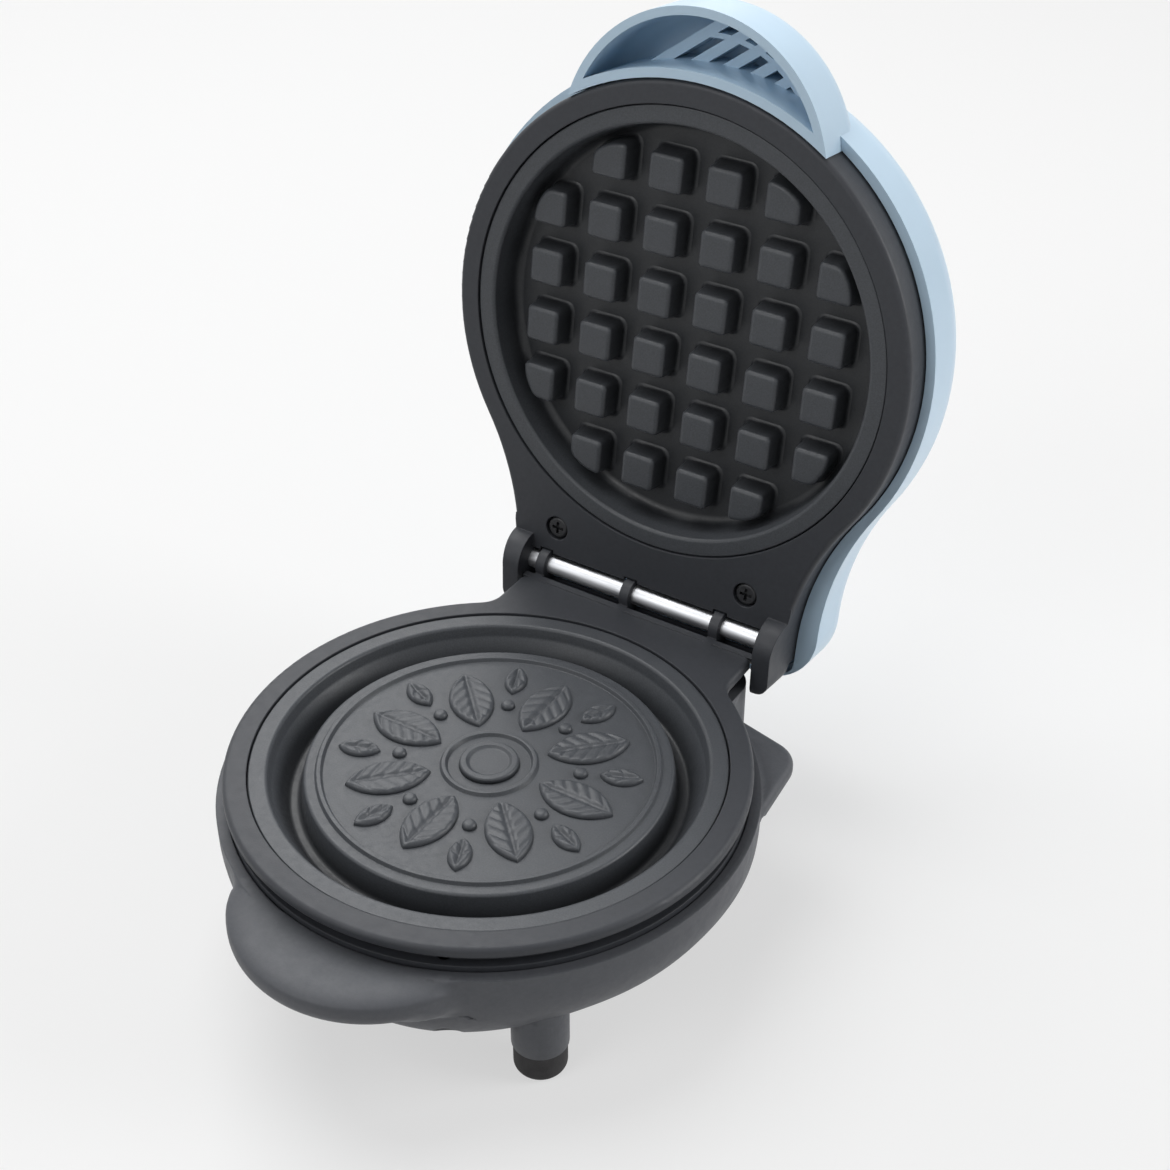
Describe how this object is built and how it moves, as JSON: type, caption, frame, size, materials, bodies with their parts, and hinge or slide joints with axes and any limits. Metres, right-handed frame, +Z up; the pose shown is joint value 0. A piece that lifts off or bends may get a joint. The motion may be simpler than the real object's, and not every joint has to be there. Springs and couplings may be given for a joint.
{
  "type": "mini waffle maker",
  "caption": "Round hinged waffle iron for the worktop: gridded upper plate in a pale lid, patterned lower plate in a dark base, crescent handles, rubber feet.",
  "frame": {"origin": "on the table, straight below the middle of the lower cooking plate", "axes": "+Z up, +Y towards the hinge, +X to the right seen from the front"},
  "size_m": [0.125, 0.1885, 0.1912],
  "materials": {
    "base_plastic": "fine-textured dark grey moulding",
    "trim_plastic": "satin charcoal heat-resistant moulding",
    "lid_plastic": "smooth pale blue moulding",
    "coated_plate": "cast aluminium with a dark grey non-stick coating",
    "foot_rubber": "dull dark rubber",
    "gland_rubber": "dull black rubber",
    "pin_steel": "bright plated rod",
    "shield_metal": "pressed sheet",
    "ceramic": "unglazed",
    "inner_steel": "plain",
    "wire_insulation": "silicone sleeve",
    "lens": "translucent lens",
    "lamp_glass": "small neon lamp"
  },
  "bodies": {
    "base": {"base_lead_fuse": "wire_insulation", "base_lead_link": "wire_insulation", "base_lead_live": "wire_insulation", "base_lead_neutral": "wire_insulation", "base_screws": "inner_steel", "base_shell": "base_plastic", "base_trim": "trim_plastic", "cord_gland": "gland_rubber", "foot_front_left": "foot_rubber", "foot_front_right": "foot_rubber", "foot_rear_left": "foot_rubber", "foot_rear_right": "foot_rubber", "hinge_pin": "pin_steel", "lower_element": "inner_steel", "lower_heat_shield": "shield_metal", "lower_insulators": "ceramic", "lower_plate": "coated_plate", "lower_plate_screws": "inner_steel", "lower_terminals": "inner_steel", "terminal_block": "ceramic", "thermal_fuse": "inner_steel", "thermostat": "ceramic"},
    "lid": {"indicator_lamp": "lamp_glass", "indicator_lens": "lens", "lid_lead_left": "wire_insulation", "lid_lead_right": "wire_insulation", "lid_screws": "inner_steel", "lid_shell": "lid_plastic", "lid_trim": "trim_plastic", "upper_element": "inner_steel", "upper_heat_shield": "shield_metal", "upper_insulators": "ceramic", "upper_plate": "coated_plate", "upper_plate_screws": "inner_steel", "upper_terminals": "inner_steel"}
  },
  "joints": [
    {"name": "lid_hinge", "type": "hinge", "parent": "base", "child": "lid", "pos_m": [0, 0.0695, 0.0465], "axis": [1, 0, 0], "range_deg": [0, 97.9]}
  ]
}
